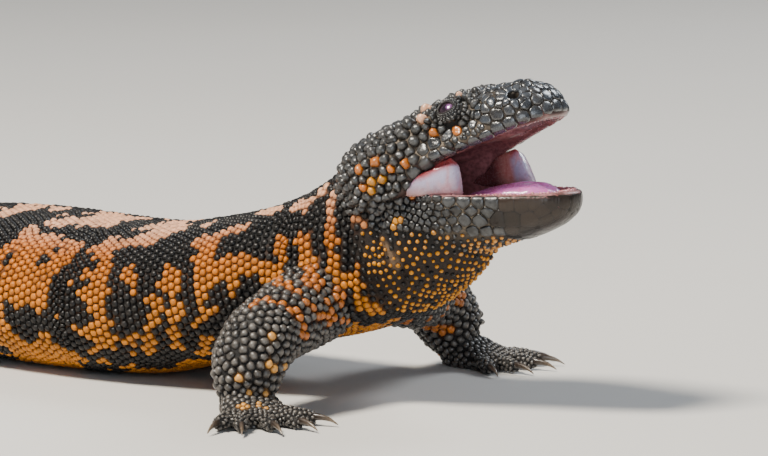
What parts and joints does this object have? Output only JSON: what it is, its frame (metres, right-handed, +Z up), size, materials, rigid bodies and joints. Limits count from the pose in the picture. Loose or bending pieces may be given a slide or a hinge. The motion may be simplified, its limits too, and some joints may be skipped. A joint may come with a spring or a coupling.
{
  "type": "gila monster figure",
  "caption": "Life-size still model of a gila monster with raised head and open mouth, lying on belly, hands and feet.",
  "frame": {"origin": "middle of the footprint's box, on the floor that the belly, tail, hands and feet rest on", "axes": "+Z up, +X towards the head along the animal's longest extent, +Y to the animal's left"},
  "size_m": [0.373, 0.1732, 0.083],
  "materials": {
    "beaded_skin": "black and orange beaded skin, satin",
    "mouth_lining": "moist pale pink",
    "tongue": "moist magenta pink",
    "eye": "wet black",
    "claw_horn": "dark horn"
  },
  "bodies": {
    "root": {"cheek_fold_left": "mouth_lining", "cheek_fold_right": "mouth_lining", "claw_foot_left_1": "claw_horn", "claw_foot_left_2": "claw_horn", "claw_foot_left_3": "claw_horn", "claw_foot_left_4": "claw_horn", "claw_foot_left_5": "claw_horn", "claw_foot_right_1": "claw_horn", "claw_foot_right_2": "claw_horn", "claw_foot_right_3": "claw_horn", "claw_foot_right_4": "claw_horn", "claw_foot_right_5": "claw_horn", "claw_hand_left_1": "claw_horn", "claw_hand_left_2": "claw_horn", "claw_hand_left_3": "claw_horn", "claw_hand_left_4": "claw_horn", "claw_hand_left_5": "claw_horn", "claw_hand_right_1": "claw_horn", "claw_hand_right_2": "claw_horn", "claw_hand_right_3": "claw_horn", "claw_hand_right_4": "claw_horn", "claw_hand_right_5": "claw_horn", "eye_left": "eye", "eye_right": "eye", "foot_left": "beaded_skin", "foot_right": "beaded_skin", "forearm_left": "beaded_skin", "forearm_right": "beaded_skin", "hand_left": "beaded_skin", "hand_right": "beaded_skin", "head": "beaded_skin", "lower_jaw": "beaded_skin", "neck": "beaded_skin", "shin_left": "beaded_skin", "shin_right": "beaded_skin", "tail_base": "beaded_skin", "tail_middle": "beaded_skin", "tail_tip": "beaded_skin", "thigh_left": "beaded_skin", "thigh_right": "beaded_skin", "tongue": "tongue", "torso_front": "beaded_skin", "torso_rear": "beaded_skin", "upper_arm_left": "beaded_skin", "upper_arm_right": "beaded_skin"}
  },
  "joints": []
}
